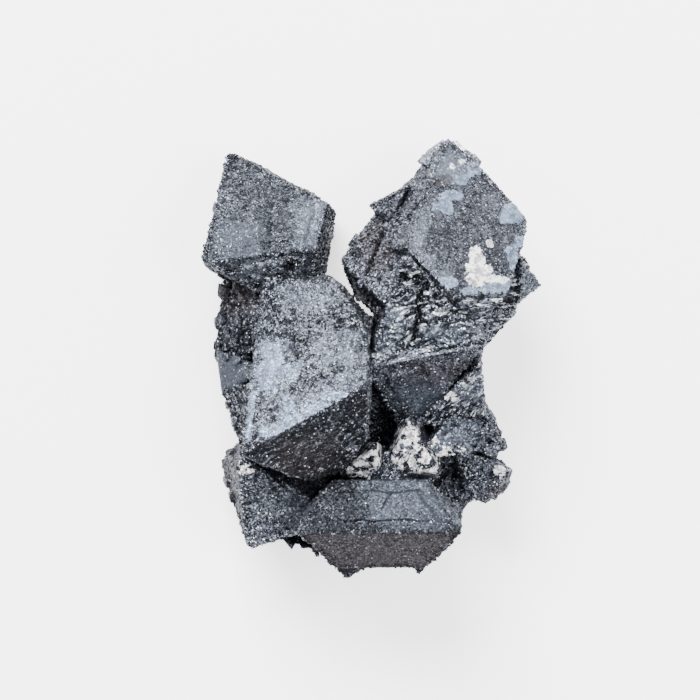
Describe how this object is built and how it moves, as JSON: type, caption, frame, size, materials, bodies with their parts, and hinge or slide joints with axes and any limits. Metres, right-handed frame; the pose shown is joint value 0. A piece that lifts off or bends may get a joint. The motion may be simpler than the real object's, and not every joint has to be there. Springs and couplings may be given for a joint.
{
  "type": "hematite pseudomorph",
  "caption": "Hand-sized cluster of dark metallic octahedral crystals grown through one another, hematite after magnetite, lying on its flat broken back.",
  "frame": {"origin": "middle of the base's box, on the flat broken back that the cluster rests on", "axes": "+Z out of the front of the cluster, away from the broken back; +Y from the two feet to the two crowns, along the cluster's length; +X from the left crown to the right crown, seen from the front"},
  "size_m": [0.0452, 0.0586, 0.032],
  "materials": {
    "hematite": "dark grey, metallic glitter of fine crystal grains, a few polished silver patches"
  },
  "bodies": {
    "root": {"crystal_cluster": "hematite"}
  },
  "joints": []
}
